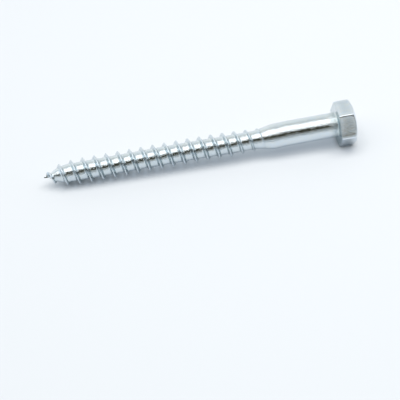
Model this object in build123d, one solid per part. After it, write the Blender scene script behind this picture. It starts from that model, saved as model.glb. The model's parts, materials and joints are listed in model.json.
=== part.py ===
from build123d import *
from math import atan, ceil, cos, degrees, pi, radians, sin, sqrt, tan
import os

# A lag screw of nominal size 8 x 90: hexagon head, plain shank and a coarse right-hand wood thread
# that runs out to a gimlet point. It is one forged and rolled piece of steel. All sizes are in mm.

# along the screw, measured from the bearing face under the head
LENGTH = 91.0
HEAD_HEIGHT = 5.2
SHANK_LENGTH = 19.3
NECK_END = 25.5

# across the screw
ACROSS_FLATS = 12.6
SHANK_D = 7.7
CORE_D = 5.6
THREAD_D = 7.9

# head details
HEX_CORNER_R = 0.6
BEARING_EDGE = 0.2
CROWN_R = 5.85
CROWN_ANGLE = 30.0
UNDERHEAD = 0.4

# thread: a 60 degree ridge wound round the core, one pitch to the turn
PITCH = 3.6
FLANK_ANGLE = 30.0
RIDGE_ROOT = 0.1
PIECES_PER_TURN = 8
START_ANGLE = -8.5

# gimlet point, measured from the tip
POINT_LENGTH = 8.0
NEEDLE_LENGTH = 1.5
NEEDLE_R = 0.35
POINT_STEPS = 4
RIDGE_START = 0.9
RIDGE_UP = 1.9
FULL_FROM = 4.0
FULL_AT = 13.0
POINT_SHARE = 0.75

# run-out of the thread into the neck, measured from the tip
RUNOUT_START = 57.0
RUNOUT_END = 68.0
RUNOUT_DROP = 0.8


def ease(start, end, s):
    """Rises smoothly from 0 at start to 1 at end."""
    t = min(1.0, max(0.0, (s - start) / (end - start)))
    return t * t * (3 - 2 * t)


def core_radius(s):
    """Radius of the thread's core at s from the tip: a needle, an ogive arc, then the plain core."""
    full = CORE_D / 2
    if s >= POINT_LENGTH:
        return full
    if s <= NEEDLE_LENGTH:
        return NEEDLE_R * s / NEEDLE_LENGTH
    run = POINT_LENGTH - NEEDLE_LENGTH
    rise = full - NEEDLE_R
    ogive = (run * run + rise * rise) / (2 * rise)
    return full - ogive + sqrt(ogive * ogive - (POINT_LENGTH - s) ** 2)


def crest_radius(s):
    """Radius of the thread's crest: it grows out of the needle and sinks away into the neck."""
    depth = (THREAD_D - CORE_D) / 2
    grown = POINT_SHARE + (1 - POINT_SHARE) * ease(FULL_FROM, FULL_AT, s)
    sunk = RUNOUT_DROP * ease(RUNOUT_START, RUNOUT_END, s)
    return core_radius(s) + depth * grown * ease(RIDGE_START, RIDGE_UP, s) - sunk


def ridge_corners(s):
    """The ridge's triangular section at s from the tip: two feet inside the core and the crest."""
    crest = crest_radius(s)
    foot = max(core_radius(s) - RIDGE_ROOT, RIDGE_ROOT / 2)
    half_width = (crest - foot) * tan(radians(FLANK_ANGLE))
    turn = 2 * pi * (s - LENGTH) / PITCH + radians(START_ANGLE)
    section = [(foot, -half_width), (crest, 0.0), (foot, half_width)]
    return [Vector(r * cos(turn), r * sin(turn), s - LENGTH + side) for r, side in section]


def ridge_edge(start, end, corner):
    """One corner of the section followed along the helix from start to end."""
    nudge = 0.0001
    middle = (start + end) / 2
    path = [ridge_corners(s)[corner] for s in (start, middle, end)]
    headings = [ridge_corners(s + nudge)[corner] - ridge_corners(s - nudge)[corner] for s in (start, end)]
    return Edge.make_spline(path, tangents=[heading.normalized() for heading in headings])


def ridge_piece(start, end):
    """A short length of the ridge, closed by its two flanks, its hidden base and a section each end."""
    edges = [ridge_edge(start, end, corner) for corner in range(3)]
    sides = [Face.make_surface_from_curves(edges[i], edges[(i + 1) % 3]) for i in range(3)]
    ends = [Face(Wire.make_polygon(ridge_corners(s), close=True)) for s in (start, end)]
    return Solid(Shell(sides + ends))


def ridge():
    """The whole ridge as pieces that follow each other from the needle to the end of the run-out."""
    count = ceil((RUNOUT_END - RIDGE_START) / PITCH * PIECES_PER_TURN)
    stops = [RIDGE_START + (RUNOUT_END - RIDGE_START) * i / count for i in range(count + 1)]
    return [ridge_piece(start, end) for start, end in zip(stops, stops[1:])]


def blank():
    """Point, core, neck and shank in one turned profile, up into the head."""
    rise = POINT_LENGTH - NEEDLE_LENGTH
    stops = [NEEDLE_LENGTH + rise * i / POINT_STEPS for i in range(POINT_STEPS + 1)]
    point = [(core_radius(s), s - LENGTH) for s in stops]
    with BuildPart() as turned:
        with BuildSketch(Plane.XZ):
            with BuildLine():
                Polyline(
                    (0, -LENGTH),
                    *point,
                    (CORE_D / 2, -NECK_END),
                    (SHANK_D / 2, -SHANK_LENGTH),
                    (SHANK_D / 2, -UNDERHEAD),
                    (SHANK_D / 2 + UNDERHEAD, 0),
                    (SHANK_D / 2 + UNDERHEAD, HEAD_HEIGHT / 2),
                    (0, HEAD_HEIGHT / 2),
                    close=True,
                )
            make_face()
        revolve(axis=Axis.Z)
    return turned.part


def head():
    """Hexagon with rounded corners, chamfered round its top and broken along its bearing edge."""
    reach = ACROSS_FLATS
    drop = (reach - CROWN_R) * tan(radians(CROWN_ANGLE))
    with BuildPart() as hexagon:
        with BuildSketch():
            RegularPolygon(radius=ACROSS_FLATS / 2, side_count=6, major_radius=False)
            fillet(vertices(), radius=HEX_CORNER_R)
        extrude(amount=HEAD_HEIGHT)
        chamfer(faces().sort_by(Axis.Z)[0].edges(), length=BEARING_EDGE)
        with BuildSketch(Plane.XZ):
            with BuildLine():
                Polyline(
                    (0, 0),
                    (reach, 0),
                    (reach, HEAD_HEIGHT - drop),
                    (CROWN_R, HEAD_HEIGHT),
                    (0, HEAD_HEIGHT),
                    close=True,
                )
            make_face()
        revolve(axis=Axis.Z, mode=Mode.INTERSECT)
    return hexagon.part


def resting_tilt():
    """The slope of the axis when the head's lower flat and a crest near the point touch the ground."""
    down = LENGTH + PITCH * (-90 - START_ANGLE) / 360
    stations = [down - PITCH * turn for turn in range(int(down / PITCH))]
    slopes = []
    for s in stations:
        if RIDGE_UP < s < RUNOUT_START:
            gap = ACROSS_FLATS / 2 - crest_radius(s)
            slopes.append(atan(gap / (LENGTH - s + BEARING_EDGE)))
    return degrees(min(slopes))


def lying(screw):
    """Lays the upright screw along X on a head flat, and centres it over the origin."""
    along_x = Plane(origin=(0, 0, 0), x_dir=(0, 1, 0), z_dir=(1, 0, 0)).location
    laid = screw.moved(Location((0, 0, 0), (0, -resting_tilt(), 0)) * along_x)
    box = laid.bounding_box()
    return laid.moved(Location((-box.center().X, -box.center().Y, -box.min.Z)))


lag_screw = lying(blank().fuse(head(), *ridge()))

os.makedirs("parts", exist_ok=True)
export_step(lag_screw, "parts/lag_screw.step")
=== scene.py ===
import bpy
import bmesh
import json
from math import atan2, cos, hypot, pi, radians, sin, sqrt, tan, tau
from mathutils import Euler, Matrix, Vector, noise


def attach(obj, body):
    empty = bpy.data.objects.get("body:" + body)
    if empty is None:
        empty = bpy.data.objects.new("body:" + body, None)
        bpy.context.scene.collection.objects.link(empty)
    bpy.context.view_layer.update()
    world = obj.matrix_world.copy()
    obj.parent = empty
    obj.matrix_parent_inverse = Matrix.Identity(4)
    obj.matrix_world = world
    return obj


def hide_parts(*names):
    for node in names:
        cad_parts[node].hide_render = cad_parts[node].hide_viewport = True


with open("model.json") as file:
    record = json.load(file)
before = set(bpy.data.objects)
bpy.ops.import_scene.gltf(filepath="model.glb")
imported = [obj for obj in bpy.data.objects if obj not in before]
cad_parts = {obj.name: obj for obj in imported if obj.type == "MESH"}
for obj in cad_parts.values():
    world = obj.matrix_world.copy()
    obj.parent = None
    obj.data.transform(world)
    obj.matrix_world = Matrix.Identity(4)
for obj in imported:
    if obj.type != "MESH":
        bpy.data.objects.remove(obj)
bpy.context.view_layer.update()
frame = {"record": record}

# ---------------------------------------------------------------------------------------------
# The thread. The lower two thirds of the screw are thread-rolled: hard dies press the cold wire
# down to a slim core and squeeze the metal up into one thin helical ridge with 30 degree flanks
# and a narrow crest. It is drawn upright here, bearing face at z = 0 and the point below.

MM = 0.001
LENGTH = 91.0 * MM
PITCH = 3.6 * MM
CORE_R = 2.8 * MM
CREST_R = 3.95 * MM
DEPTH = CREST_R - CORE_R
FLANK = radians(30)
CREST_FLAT = 0.16 * MM
CREST_ROUND = 0.06 * MM
ROOT_ROUND = 0.33 * MM
START_ANGLE = radians(8.5)
COLUMNS = 120

# the bare screw, and how much painted shade each of its points gets: painted darker above 0, a painted
# highlight below 0, with streaks of random tone on the head's flats
screw = bmesh.new()
painted_shade_and_tone = screw.verts.layers.float.new("painted_shade_and_tone")

# one pitch of the ridge as a line in the XZ plane, with its corners rounded as the dies leave them
# and its long stretches cut in three
foot = CREST_FLAT / 2 + DEPTH * tan(FLANK)
below_tip = -(LENGTH // PITCH + 1) * PITCH + PITCH * START_ANGLE / tau
corners = [
    (CORE_R, -PITCH / 2),
    (CORE_R, -foot),
    (CREST_R, -CREST_FLAT / 2),
    (CREST_R, CREST_FLAT / 2),
    (CORE_R, foot),
    (CORE_R, PITCH / 2),
]
line = [screw.verts.new((r, 0, below_tip + z)) for r, z in corners]
for lower, upper in zip(line, line[1:]):
    screw.edges.new((lower, upper))
roots, crests = [line[1], line[4]], [line[2], line[3]]
for rounded, offset, segments in ((roots, ROOT_ROUND, 5), (crests, CREST_ROUND, 2)):
    bmesh.ops.bevel(
        screw, geom=rounded, offset=offset, segments=segments, profile=0.5, affect="VERTICES", material=-1
    )
LONG_EDGE = 0.5 * MM
straights = [edge for edge in screw.edges if edge.calc_length() > LONG_EDGE]
bmesh.ops.subdivide_edges(screw, edges=straights, cuts=2)

# one turn wound up the core, then turn upon turn, sewn together and cut off square at both ends:
# near the tip, and in the neck above the place where the ridge has gone
THREAD_TOP = -20.2 * MM
TIP_CUT = 0.2 * MM
SEWN = 0.004 * MM
bmesh.ops.spin(
    screw,
    geom=screw.verts[:] + screw.edges[:],
    cent=(0, 0, 0),
    axis=(0, 0, 1),
    dvec=(0, 0, PITCH / COLUMNS),
    angle=tau,
    steps=COLUMNS,
)
one_turn = screw.verts[:] + screw.edges[:] + screw.faces[:]
turns = round((THREAD_TOP - below_tip) / PITCH) + 1
for number in range(1, turns):
    copied = bmesh.ops.duplicate(screw, geom=one_turn)["geom"]
    next_turn = [part for part in copied if isinstance(part, bmesh.types.BMVert)]
    bmesh.ops.translate(screw, verts=next_turn, vec=(0, 0, PITCH * number))
bmesh.ops.remove_doubles(screw, verts=screw.verts[:], dist=SEWN)
for height, side in ((TIP_CUT - LENGTH, -1), (THREAD_TOP, 1)):
    bmesh.ops.bisect_plane(
        screw,
        geom=screw.verts[:] + screw.edges[:] + screw.faces[:],
        dist=0.0001 * MM,
        plane_co=(0, 0, height),
        plane_no=(0, 0, side),
        clear_outer=True,
    )


def turned(vert):
    """How far round the axis a point stands, as a share of a turn from 0 to 1."""
    seam = 0.0001
    return (atan2(vert.co.y, vert.co.x) / tau + seam) % 1 - seam


def open_ring(height):
    """One corner for each column round the open end at this height, in order.

    Corners that the cut made between two columns are dissolved, and those that it left just
    beside the ring are pulled onto it, so that no sliver of a face stays there.
    """
    on_cut, beside, off_column = 0.01 * MM, 0.08 * MM, 0.01
    edges = [edge for edge in screw.edges if edge.is_boundary]
    ring = {vert for edge in edges for vert in edge.verts if abs(vert.co.z - height) < on_cut}
    column = {vert: turned(vert) * COLUMNS for vert in ring}
    between = [vert for vert in ring if abs(column[vert] - round(column[vert])) > off_column]
    bmesh.ops.dissolve_verts(screw, verts=between)
    ring = sorted((vert for vert in ring if vert.is_valid), key=turned)
    close = [vert for vert in screw.verts if 0 < abs(vert.co.z - height) < beside and vert not in ring]
    slivers = {vert: ring[round(turned(vert) * COLUMNS) % COLUMNS] for vert in close}
    bmesh.ops.weld_verts(screw, targetmap=slivers)
    return ring


tip_ring = open_ring(TIP_CUT - LENGTH)
top_ring = open_ring(THREAD_TOP)

# ---------------------------------------------------------------------------------------------
# The blank under the thread. The same wire, rolled slim by the dies: a needle and an ogive at the
# gimlet point, the slim core, and the neck where the rolling stopped, which swells to the shank.

SHANK_R = 3.85 * MM
NECK_START = -26.3 * MM
NECK_END = -19.5 * MM
POINT_LENGTH = 8.0 * MM
NEEDLE_LENGTH = 1.5 * MM
NEEDLE_R = 0.35 * MM
NEEDLE_END = 0.62


def ease(start, end, value):
    """Goes smoothly from 0 at start to 1 at end, whichever of them is higher."""
    t = min(1.0, max(0.0, (value - start) / (end - start)))
    return t * t * (3 - 2 * t)


def core_radius(z):
    """Radius of the thread's core, with its point."""
    from_tip = z + LENGTH
    if from_tip >= POINT_LENGTH:
        return CORE_R
    if from_tip <= NEEDLE_LENGTH:
        return NEEDLE_R * (NEEDLE_END + (1 - NEEDLE_END) * from_tip / NEEDLE_LENGTH)
    run, rise = POINT_LENGTH - NEEDLE_LENGTH, CORE_R - NEEDLE_R
    ogive = (run * run + rise * rise) / (2 * rise)
    return CORE_R - ogive + sqrt(ogive * ogive - (POINT_LENGTH - from_tip) ** 2)


def body_radius(z):
    """Radius of the whole blank: the core below, and the neck up into the shank."""
    return core_radius(z) + (SHANK_R - CORE_R) * ease(NECK_START, NECK_END, z)


# The ridge grows out of the needle, is a little low over the point, where the dies have less
# metal to fill them, and sinks into the neck. The first four heights are measured from the tip.
RIDGE_START = 0.5 * MM
RIDGE_UP = 1.5 * MM
LOWEST_AT = 4.0 * MM
FULL_AT = 13.0 * MM
POINT_SHARE = 0.75
RUNOUT_START = -36.0 * MM
RUNOUT_END = -22.8 * MM
RUNOUT_DROP = 0.6 * MM


def ridge_share(z):
    """The ridge's height over the blank, as a share of its full depth."""
    from_tip = z + LENGTH
    low = (1 - POINT_SHARE) * ease(RIDGE_UP, LOWEST_AT, from_tip) * (1 - ease(LOWEST_AT, FULL_AT, from_tip))
    grown = ease(RIDGE_START, RIDGE_UP, from_tip) * (1 - low)
    crest = core_radius(z) + DEPTH * grown - RUNOUT_DROP * ease(RUNOUT_START, RUNOUT_END, z)
    return max(0.0, (crest - body_radius(z)) / DEPTH)


# painted shade on the thread: darkest low on the flanks and on the screw's lower side, less on the core
# between the flanks, and none near the crests
SHADE_ON_TOP = 0.25
SHADE_ON_CORE = 0.2


def thread_shade(up_flank, share, from_tip, angle):
    """How much painted shade the zinc gets here: most on the screw's lower side, and none on crest or needle.
    """
    shaded_below = SHADE_ON_TOP + (1 - SHADE_ON_TOP) * ease(0.9, -0.2, sin(angle))
    off_core = SHADE_ON_CORE + (1 - SHADE_ON_CORE) * ease(0.0, 0.3, up_flank)
    near_crest = ease(0.4, 0.7, up_flank)
    beside_ridge = min(1.0, 3 * share) * ease(1 * MM, 4 * MM, from_tip)
    return shaded_below * off_core * (1 - near_crest) * beside_ridge


# Every point of the wound sheet keeps its place on the ridge's slope while the ridge shrinks over
# the blank, so its flanks stay at 30 degrees. Windings that have no ridge, past its end in the neck
# and below the tip, are left where they are. Near the point the ridge runs a little ahead.
TIP_LEAD = 0.3 * MM
half_ridge = foot + ROOT_ROUND
half_pitch = PITCH / 2
for vert in screw.verts:
    from_tip = vert.co.z + LENGTH
    winding = (vert.co.z - below_tip) / PITCH - turned(vert)
    off_ridge = (winding - round(winding)) * PITCH
    ridge_z = vert.co.z - off_ridge
    share = ridge_share(ridge_z)
    shrunk = CREST_FLAT / 2 + (half_ridge - CREST_FLAT / 2) * share
    away = abs(off_ridge)
    if away <= half_ridge:
        away *= shrunk / half_ridge
    else:
        away = shrunk + (away - half_ridge) * (half_pitch - shrunk) / (half_pitch - half_ridge)
    new_z = ridge_z + (away if off_ridge > 0 else -away)
    past_tip = ease(0.3 * MM, 0.9 * MM, ridge_z + LENGTH)
    has_ridge = past_tip * ease(THREAD_TOP - half_pitch, RUNOUT_END, ridge_z)
    lead = TIP_LEAD * ease(TIP_CUT, 2 * MM, from_tip) * (1 - ease(3 * MM, 9 * MM, from_tip))
    vert.co.z += (new_z - vert.co.z) * has_ridge - lead
    height = hypot(vert.co.x, vert.co.y) - CORE_R
    radius = body_radius(vert.co.z) + height * share
    angle = atan2(vert.co.y, vert.co.x)
    vert.co.x, vert.co.y = radius * cos(angle), radius * sin(angle)
    # the thread's painted shade
    vert[painted_shade_and_tone] = thread_shade(height / DEPTH, share, vert.co.z + LENGTH, angle)


def next_ring(ring, places):
    """Draws the open ring's edge out to new places, one for each corner, and returns the new ring."""
    corners_of_ring = set(ring)
    edges = [edge for edge in screw.edges if edge.is_boundary and corners_of_ring.issuperset(edge.verts)]
    drawn = bmesh.ops.extrude_edge_only(screw, edges=edges)["geom"]
    fresh = sorted((part for part in drawn if isinstance(part, bmesh.types.BMVert)), key=turned)
    for vert, place in zip(fresh, places):
        vert.co = place
    return fresh


def circle(radius, z):
    """Places of one ring of columns at this radius and height."""
    angles = [tau * k / COLUMNS for k in range(COLUMNS)]
    return [Vector((radius * cos(angle), radius * sin(angle), z)) for angle in angles]


# the blunt end of the needle, drawn shut in two rings
for from_tip, share in ((0.08 * MM, 0.85), (0.02 * MM, 0.45)):
    tip_ring = next_ring(tip_ring, circle(core_radius(TIP_CUT - LENGTH) * share, from_tip - LENGTH))
bmesh.ops.pointmerge(screw, verts=tip_ring, merge_co=(0, 0, -LENGTH))

# the dies nip the scrap off the point, which leaves the needle flattened
FLAT_WAY = Vector((-0.7, 0.7, 0)).normalized()
FLAT_LEFT = 0.12
FLAT_TO = 1.1 * MM
ROUND_FROM = 1.8 * MM
for vert in screw.verts:
    flattened = (1 - FLAT_LEFT) * (1 - ease(FLAT_TO, ROUND_FROM, vert.co.z + LENGTH))
    vert.co -= FLAT_WAY * vert.co.dot(FLAT_WAY) * flattened

# the plain neck and shank, ring by ring up to the fillet under the head
FILLET = 0.5 * MM
SHANK_ROWS = 78
FILLET_ROWS = 6
rise = -FILLET - THREAD_TOP
for row in range(1, SHANK_ROWS + 1):
    z = THREAD_TOP + rise * row / SHANK_ROWS
    top_ring = next_ring(top_ring, circle(body_radius(z), z))
for row in range(1, FILLET_ROWS + 1):
    swing = pi / 2 * row / FILLET_ROWS
    top_ring = next_ring(top_ring, circle(SHANK_R + FILLET * (1 - cos(swing)), FILLET * (sin(swing) - 1)))

# ---------------------------------------------------------------------------------------------
# The head. It is cold-headed from the same wire and trimmed to a hexagon: a flat bearing face,
# slightly rolled edges and corners, and a 30 degree chamfer turned round the plain end.

HALF_FLATS = 6.3 * MM
HEAD_HEIGHT = 5.2 * MM
CORNER_R = 0.6 * MM
SIDE_COLUMNS = COLUMNS // 6
CORNER_STEPS = 4


def corner_place(corner, turn, radius):
    """A point of the rounded corner that stands at this angle, turned on from its middle."""
    reach = (HALF_FLATS - CORNER_R) / cos(pi / 6)
    centre = Vector((reach * cos(corner), reach * sin(corner)))
    return centre + radius * Vector((cos(corner + turn), sin(corner + turn)))


def hexagon(inset):
    """Places round the hexagon with rounded corners, drawn in by this much, as flat (x, y) points."""
    places = []
    for k in range(COLUMNS):
        side, step = divmod(k, SIDE_COLUMNS)
        leaving_turn = min(step, CORNER_STEPS) / CORNER_STEPS * pi / 6
        meeting_turn = max(step - SIDE_COLUMNS + CORNER_STEPS, 0) / CORNER_STEPS * pi / 6 - pi / 6
        leaving = corner_place(tau * side / 6, leaving_turn, CORNER_R - inset)
        meeting = corner_place(tau * (side + 1) / 6, meeting_turn, CORNER_R - inset)
        along = min(1.0, max(0.0, (step - CORNER_STEPS) / (SIDE_COLUMNS - 2 * CORNER_STEPS)))
        places.append(leaving.lerp(meeting, along))
    return places


def flat_ring(inset, z):
    """Places of a ring round the hexagon at this height."""
    return [Vector((place.x, place.y, z)) for place in hexagon(inset)]


# The bearing face, from the fillet out to the hexagon, and its rolled edge. The header's die leaves
# the lowest millimetre of the flats leaning in by 8 degrees, so the face is that much smaller.
EDGE_R = 0.12 * MM
EDGE_ROWS = 5
FLAT_MARGIN = 0.05 * MM
LEAN = tan(radians(8))
LEAN_UP_TO = 0.95 * MM
lean_in = LEAN * (LEAN_UP_TO - EDGE_R)
inner = circle(SHANK_R + FILLET, 0)
outer = flat_ring(EDGE_R + FLAT_MARGIN + lean_in, 0)
for share in (0.06, 0.35, 0.7, 1.0):
    top_ring = next_ring(top_ring, [a.lerp(b, share) for a, b in zip(inner, outer)])
for row in range(EDGE_ROWS + 1):
    swing = pi / 2 * row / EDGE_ROWS
    top_ring = next_ring(top_ring, flat_ring(EDGE_R * (1 - sin(swing)) + lean_in, EDGE_R * (1 - cos(swing))))

# the six flats, each dished a little inside its border by the trimming die, up to where the
# chamfer's cone cuts them
PANEL_BORDER = 0.5 * MM
PANEL_STEP = 0.35 * MM
PANEL_DEPTH = 0.042 * MM


def panel_share(place, z, top):
    """How deep a point of a flat lies in its panel, from 0 on the border to 1 in the middle."""
    face_angle = (atan2(place.y, place.x) / tau * 6 % 1 - 0.5) * pi / 3
    half_width = (HALF_FLATS - CORNER_R) * tan(pi / 6)
    across = half_width - abs(HALF_FLATS * tan(face_angle))
    return ease(0.3 * MM, 0.9 * MM, across) * ease(PANEL_BORDER, PANEL_BORDER + PANEL_STEP, top - z)


# the flats get a painted highlight, strongest on their borders and on the leaning strip and weaker in the
# dished panels, where painted shade is added with streaks of random tone along them
FLAT_HIGHLIGHT = 0.24
PANEL_SHADE = 0.18
PANEL_STREAKS = 0.2
STREAK_WIDTH = 0.7 * MM


def panel_highlight_and_shade(inside, z):
    """How much painted shade a point of a flat gets, negative where it is a painted highlight, from how deep
    it lies in its panel and its height, with streaks of random tone.
    """
    streak = noise.noise(Vector((0.3, 0.7, z / STREAK_WIDTH)))
    above_lean = ease(LEAN_UP_TO - 0.1 * MM, LEAN_UP_TO + 0.1 * MM, z)
    return inside * above_lean * (PANEL_SHADE + PANEL_STREAKS * streak) - FLAT_HIGHLIGHT


# The chamfer's cone starts at the rim of the plain end, and its edge on the flats is rounded. The
# flats have their rows closer together where the lean, a panel's border or the edge bends them.
END_R = 5.85 * MM
CHAMFER_SLOPE = radians(30)
CHAMFER_EDGE_R = 0.25 * MM
SIDE_ROWS = (0.015, 0.06, 0.11, 0.15, 0.18, 0.21, 0.3, 0.4, 0.5, 0.6, 0.7, 0.77, 0.82, 0.87, 0.93, 0.985, 1.0)
tangent = CHAMFER_EDGE_R * tan((pi / 2 - CHAMFER_SLOPE) / 2)
sides = hexagon(0)
cut = [HEAD_HEIGHT - (place.length - END_R) * tan(CHAMFER_SLOPE) - tangent for place in sides]
for share in SIDE_ROWS:
    places = []
    flat_shades_and_tones = []
    for place, top in zip(sides, cut):
        z = EDGE_R + (top - EDGE_R) * share
        inside = panel_share(place, z, top + CHAMFER_EDGE_R)
        dished = place * (1 - (PANEL_DEPTH * inside + LEAN * max(0.0, LEAN_UP_TO - z)) / place.length)
        places.append(Vector((dished.x, dished.y, z)))
        flat_shades_and_tones.append(panel_highlight_and_shade(inside, z))
    top_ring = next_ring(top_ring, places)
    # each point of the flats keeps its painted highlight or shade
    for vert, shade_and_tone in zip(top_ring, flat_shades_and_tones):
        vert[painted_shade_and_tone] = shade_and_tone

# the broken edge between the flats and the chamfer
CUT_ROWS = 4
for row in range(1, CUT_ROWS + 1):
    swing = (pi / 2 - CHAMFER_SLOPE) * row / CUT_ROWS
    pull = CHAMFER_EDGE_R * (1 - cos(swing))
    lift = CHAMFER_EDGE_R * sin(swing)
    pulled_in = [place * (1 - pull / place.length) for place in sides]
    places = [Vector((place.x, place.y, z + lift)) for place, z in zip(pulled_in, cut)]
    top_ring = next_ring(top_ring, places)

# the chamfer, the rim where it meets the end, and the end itself, dished a little by the header
RIM_R = 0.35 * MM
RIM_ROWS = 3
END_DISH = 0.05 * MM
rim = RIM_R * tan(CHAMFER_SLOPE / 2)
edge_now = [vert.co.copy() for vert in top_ring]
rim_start = circle(END_R + rim * cos(CHAMFER_SLOPE), HEAD_HEIGHT - rim * sin(CHAMFER_SLOPE))
for share in (0.08, 0.5, 1.0):
    top_ring = next_ring(top_ring, [a.lerp(b, share) for a, b in zip(edge_now, rim_start)])
for row in range(1, RIM_ROWS + 1):
    swing = CHAMFER_SLOPE * (1 - row / RIM_ROWS)
    radius = END_R - rim + RIM_R * sin(swing)
    top_ring = next_ring(top_ring, circle(radius, HEAD_HEIGHT - RIM_R * (1 - cos(swing))))
for share in (0.98, 0.85, 0.65, 0.45, 0.25, 0.1):
    radius = (END_R - rim) * share
    top_ring = next_ring(top_ring, circle(radius, HEAD_HEIGHT - END_DISH * (1 - share * share)))
bmesh.ops.pointmerge(screw, verts=top_ring, merge_co=(0, 0, HEAD_HEIGHT - END_DISH))
bmesh.ops.recalc_face_normals(screw, faces=screw.faces[:])

# ---------------------------------------------------------------------------------------------
# The whole screw, as it comes from the works. Nothing rolled or headed is quite true: it has slow
# swells and a fine ripple a few microns deep, a crest that the dies have filled unevenly, and a
# thread that stands a little off the shank's centre.

SWELL, SWELL_LONG = 0.012 * MM, 2.6 * MM
RIPPLE, RIPPLE_LONG = 0.010 * MM, 0.85 * MM
HEAD_RIPPLE = 0.35
CREST_RAGGED = 0.03 * MM
screw.normal_update()
offsets = []
for vert in screw.verts:
    rippled = RIPPLE * (HEAD_RIPPLE if vert.co.z > 0 else 1.0)
    swell = SWELL * noise.noise(vert.co / SWELL_LONG) + rippled * noise.noise(vert.co / RIPPLE_LONG)
    if TIP_CUT - LENGTH < vert.co.z < NECK_START:
        height = max(0.0, (hypot(vert.co.x, vert.co.y) - body_radius(vert.co.z)) / DEPTH)
        swell += CREST_RAGGED * height * noise.noise(vert.co / RIPPLE_LONG + Vector((7, 3, 5)))
    offsets.append(vert.normal * swell)
for vert, offset in zip(screw.verts, offsets):
    vert.co += offset

OFF_CENTRE = 0.2 * MM
aside = Vector((-0.69, -0.72, 0)) * OFF_CENTRE
for vert in screw.verts:
    leaves_centre = ease(-48 * MM, -32 * MM, vert.co.z)
    comes_back = ease(-22 * MM, -15 * MM, vert.co.z)
    vert.co += aside * (leaves_centre - comes_back)

# Under the head the shank and the bearing face are painted darker as shade, the bearing face less so on the
# side that faces up and back. The zinc's grain, its relief, is strongest there, and weakest on the head,
# where the die pressed it smooth.
UNDER_HEAD = -2.8 * MM
UNDER_HEAD_SHADE = 0.4
BEARING_SHADE = 0.3
BEARING_LIT_SIDE = 0.4
ROUGHER_UNDER_HEAD = 1.3
SMOOTHER_HEAD = 0.7
relief = screw.verts.layers.float.new("relief")
for vert in screw.verts:
    x, y, z = vert.co
    if UNDER_HEAD < z < EDGE_R / 2:
        faced_up = ease(0.1, 0.8, (x + y) / hypot(x, y) / sqrt(2))
        on_shank = UNDER_HEAD_SHADE * ease(UNDER_HEAD, -1.2 * MM, z)
        vert[painted_shade_and_tone] = on_shank + (BEARING_SHADE - BEARING_LIT_SIDE * faced_up) * ease(-FILLET, 0, z)
    under_head = ease(-3.2 * MM, -1.8 * MM, z) * (1 - ease(-0.6 * MM, 0, z))
    vert[relief] = 1 + ROUGHER_UNDER_HEAD * under_head - SMOOTHER_HEAD * ease(0, EDGE_R, z)

# laid down as it rests: on one flat of the head and on a crest near the point
mounts = {mount["name"]: mount for mount in frame["record"]["mounts"]}
axis = Vector(mounts["head_end"]["axis"]).normalized()
end_centre = Vector(mounts["head_end"]["pos_m"])
sideways = Vector((0, 1, 0))
upwards = axis.cross(sideways)
lay_down = Matrix((sideways, upwards, axis)).transposed().to_4x4()
lay_down.translation = end_centre - axis * HEAD_HEIGHT
bmesh.ops.transform(screw, matrix=lay_down, verts=screw.verts[:])

mesh = bpy.data.meshes.new("zinc_lag_screw")
screw.to_mesh(mesh)
screw.free()
mesh.shade_smooth()
zinc_screw = bpy.data.objects.new("zinc_lag_screw", mesh)
bpy.context.scene.collection.objects.link(zinc_screw)
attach(zinc_screw, "root")
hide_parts("lag_screw")

# The finish is bright zinc with a clear blue passivation: a metal film over cold-formed steel. It follows the
# drawing marks of the wire, carries a fine orange peel, and its tint drifts from blue to straw. Where the
# mesh carries painted shade, the zinc is painted darker and made rougher. Where that value is negative, on
# the head's flats, it is painted lighter and smoother as a highlight.
BLUE_ZINC = (0.64, 0.715, 0.78)
STRAW_ZINC = (0.685, 0.73, 0.745)
# the colour that painted shade darkens the zinc towards
SHADED_ZINC = (0.405, 0.482, 0.49)
DULL_ROUGHNESS = 0.2
PEEL_DEPTH = 0.06 * MM
GRIT_DEPTH = 0.04 * MM


def joined(tree, value, socket):
    """Gives a node's input a constant, or links another node's output to it."""
    if isinstance(value, bpy.types.NodeSocket):
        tree.links.new(value, socket)
    elif isinstance(value, tuple):
        socket.default_value = (*value, 1)
    else:
        socket.default_value = value


def spread(tree, value, low, high, to_low, to_high, smooth=False):
    """Stretches the part of a value between low and high over a new range."""
    stretched = tree.nodes.new("ShaderNodeMapRange")
    stretched.interpolation_type = "SMOOTHSTEP" if smooth else "LINEAR"
    for name, number in (("From Min", low), ("From Max", high), ("To Min", to_low), ("To Max", to_high)):
        stretched.inputs[name].default_value = number
    joined(tree, value, stretched.inputs["Value"])
    return stretched.outputs["Result"]


def mixed(tree, factor, a, b, blend="MIX", clamped=True):
    """Mixes two colours by a factor that varies."""
    mix = tree.nodes.new("ShaderNodeMix")
    mix.data_type = "RGBA"
    mix.blend_type = blend
    mix.clamp_factor = clamped
    for name, value in (("Factor", factor), ("A", a), ("B", b)):
        joined(tree, value, mix.inputs[name])
    return mix.outputs["Result"]


def worked_out(tree, operation, *values):
    """The result of one step of arithmetic."""
    step = tree.nodes.new("ShaderNodeMath")
    step.operation = operation
    for value, socket in zip(values, step.inputs):
        joined(tree, value, socket)
    return step.outputs["Value"]


zinc = bpy.data.materials.new("zinc_plate")
zinc.use_nodes = True
plating = zinc.node_tree
shader = plating.nodes["Principled BSDF"]
shader.inputs["Metallic"].default_value = 1.0

# the grain is drawn out along the wire, which lies 1.7 degrees off level
where = plating.nodes.new("ShaderNodeTexCoord")
drawn_out = plating.nodes.new("ShaderNodeMapping")
drawn_out.inputs["Scale"].default_value = (0.55, 1.0, 1.0)
drawn_out.inputs["Rotation"].default_value = (0, radians(1.7), 0)
joined(plating, where.outputs["Object"], drawn_out.inputs["Vector"])


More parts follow.
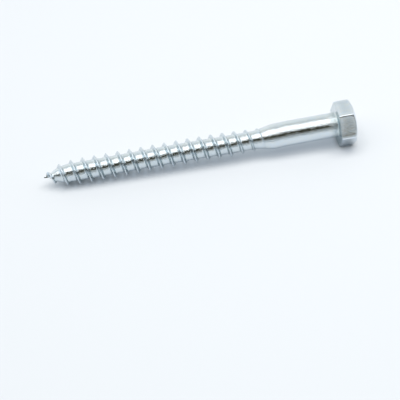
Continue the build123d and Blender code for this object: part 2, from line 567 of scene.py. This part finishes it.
def zinc_noise(per_mm, detail, roughness):
    """A noise laid along the screw, with this many swells to the millimetre."""
    grain = plating.nodes.new("ShaderNodeTexNoise")
    grain.inputs["Scale"].default_value = per_mm / MM
    grain.inputs["Detail"].default_value = detail
    grain.inputs["Roughness"].default_value = roughness
    joined(plating, drawn_out.outputs["Vector"], grain.inputs["Vector"])
    return grain.outputs["Fac"]


def painted(layer):
    """A value that was laid on the mesh, point by point."""
    attribute = plating.nodes.new("ShaderNodeAttribute")
    attribute.attribute_name = layer
    return attribute.outputs["Fac"]


def bumped(height, depth, under=None):
    """A bump of this depth in metres, as strong as the mesh says, on top of another one."""
    bump = plating.nodes.new("ShaderNodeBump")
    bump.inputs["Distance"].default_value = depth
    joined(plating, painted("relief"), bump.inputs["Strength"])
    joined(plating, height, bump.inputs["Height"])
    if under:
        joined(plating, under, bump.inputs["Normal"])
    return bump.outputs["Normal"]


drift = spread(plating, zinc_noise(1.1, 5.0, 0.65), 0.38, 0.66, 0.0, 1.0)
tint = mixed(plating, drift, BLUE_ZINC, STRAW_ZINC)
# the mesh's painted shade darkens the zinc's colour, and lightens it as a painted highlight where it is
# negative
shade_and_tone = painted("painted_shade_and_tone")
joined(plating, mixed(plating, shade_and_tone, tint, SHADED_ZINC, clamped=False), shader.inputs["Base Color"])
bright_roughness = spread(plating, zinc_noise(1.2, 4.0, 0.6), 0.35, 0.65, 0.05, 0.14)
roughness = worked_out(plating, "MULTIPLY_ADD", shade_and_tone, DULL_ROUGHNESS, bright_roughness)
joined(plating, roughness, shader.inputs["Roughness"])
peel = bumped(zinc_noise(2.2, 2.0, 0.6), PEEL_DEPTH)
grit = bumped(zinc_noise(4.5, 2.0, 0.6), GRIT_DEPTH, under=peel)
joined(plating, grit, shader.inputs["Normal"])
mesh.materials.append(zinc)

# ---------------------------------------------------------------------------------------------
# The stage: a plain white table. It gives back some light of its own, so that shadows on it stay
# soft, but not right under the screw, where no light gets in.

floor_mesh = bpy.data.meshes.new("table")
sheet = bmesh.new()
bmesh.ops.create_grid(sheet, x_segments=1, y_segments=1, size=3.0)
sheet.to_mesh(floor_mesh)
sheet.free()
table = bpy.data.objects.new("table", floor_mesh)
bpy.context.scene.collection.objects.link(table)
white = bpy.data.materials.new("white_table")
white.use_nodes = True
paint = white.node_tree.nodes["Principled BSDF"]
paint.inputs["Base Color"].default_value = (0.475, 0.478, 0.478, 1)
paint.inputs["Roughness"].default_value = 0.8
paint.inputs["Specular IOR Level"].default_value = 0.0
paint.inputs["Emission Strength"].default_value = 1.0
open_to_light = white.node_tree.nodes.new("ShaderNodeAmbientOcclusion")
open_to_light.samples = 8
open_to_light.inputs["Color"].default_value = (0.175, 0.21, 0.255, 1)
open_to_light.inputs["Distance"].default_value = 1.7 * MM
joined(white.node_tree, open_to_light.outputs["Color"], paint.inputs["Emission Color"])
floor_mesh.materials.append(white)

# The light: a lamp behind a broad white diffuser that hangs over the table. What falls on the table
# is the lamp's light, and what shines in the zinc is the even white of the diffuser. Beside it the
# room is pale at the back and dark in front.
lamp_light = bpy.data.lights.new("lamp", "AREA")
lamp_light.shape = "RECTANGLE"
lamp_light.size = 0.6
lamp_light.size_y = 0.24
lamp_light.energy = 1.8
lamp = bpy.data.objects.new("lamp", lamp_light)
lamp.location = (0.12, 0.04, 0.49)
lamp.visible_camera = False
lamp.visible_glossy = False
bpy.context.scene.collection.objects.link(lamp)

# The room as it is seen from the table: degrees from overhead, minus to the back and plus to the
# front. Its ends are plain walls, and the diffuser fades towards them.
ROOM = (
    (-180, (0.90, 0.92, 0.92)),
    (-90, (1.04, 1.06, 1.03)),
    (-60, (0.94, 0.97, 0.95)),
    (-45, (0.83, 0.87, 0.88)),
    (-36, (0.66, 0.69, 0.68)),
    (-24, (0.56, 0.56, 0.54)),
    (-19, (1.75, 1.75, 1.73)),
    (27, (1.75, 1.75, 1.73)),
    (31.5, (0.05, 0.05, 0.032)),
    (62, (0.043, 0.043, 0.028)),
    (69, (0.25, 0.245, 0.22)),
    (74, (0.67, 0.70, 0.70)),
    (84, (0.36, 0.38, 0.38)),
    (96, (0.34, 0.37, 0.37)),
    (180, (0.90, 0.94, 0.94)),
)
FADED = (1.2, 1.2, 1.18)
WALL_LOW = (0.77, 0.88, 1.03)
WALL_HIGH = (1.05, 1.19, 1.22)
world = bpy.data.worlds.new("room")
bpy.context.scene.world = world
world.use_nodes = True
room = world.node_tree
direction = room.nodes.new("ShaderNodeTexCoord")
parts = room.nodes.new("ShaderNodeSeparateXYZ")
joined(room, direction.outputs["Generated"], parts.inputs["Vector"])
to_front = worked_out(room, "MULTIPLY", parts.outputs["Y"], -1.0)
from_overhead = worked_out(room, "ARCTAN2", to_front, parts.outputs["Z"])
round_the_room = room.nodes.new("ShaderNodeValToRGB")
joined(room, spread(room, from_overhead, -pi, pi, 0.0, 1.0), round_the_room.inputs["Fac"])
stops = round_the_room.color_ramp.elements
for number, (degrees, colour) in enumerate(ROOM):
    place = degrees / 360 + 0.5
    if number < 2:
        stop = stops[number]
        stop.position = place
    else:
        stop = stops.new(place)
    stop.color = (*colour, 1)
to_an_end = worked_out(room, "ABSOLUTE", parts.outputs["X"])
fading = spread(room, to_an_end, 0.55, 0.8, 0.0, 1.0, smooth=True)
middle = mixed(room, fading, round_the_room.outputs["Color"], FADED, blend="DARKEN")
wall = mixed(room, spread(room, parts.outputs["Z"], 0.0, 0.5, 0.0, 1.0), WALL_LOW, WALL_HIGH)
at_wall = spread(room, to_an_end, 0.82, 0.96, 0.0, 1.0, smooth=True)
glow = room.nodes["Background"]
joined(room, mixed(room, at_wall, middle, wall), glow.inputs["Color"])
joined(room, spread(room, parts.outputs["X"], -0.4, 0.4, 1.15, 0.95), glow.inputs["Strength"])

# the camera looks down on the screw from the front, with the head to the right
AZIMUTH, ELEVATION, ROLL = radians(-8.66), radians(44.28), radians(-3.2)
AIM = Vector((-0.0044, -0.0228, 0.006))
DISTANCE = 0.3734
camera_data = bpy.data.cameras.new("camera")
camera_data.lens = 115.15
camera = bpy.data.objects.new("camera", camera_data)
bpy.context.scene.collection.objects.link(camera)
back = Vector((sin(AZIMUTH) * cos(ELEVATION), -cos(AZIMUTH) * cos(ELEVATION), sin(ELEVATION)))
camera.location = AIM + back * DISTANCE
turn = Euler((pi / 2 - ELEVATION, 0, AZIMUTH)).to_matrix() @ Matrix.Rotation(ROLL, 3, "Z")
camera.rotation_euler = turn.to_euler()
bpy.context.scene.camera = camera
bpy.context.scene.view_settings.view_transform = "Standard"
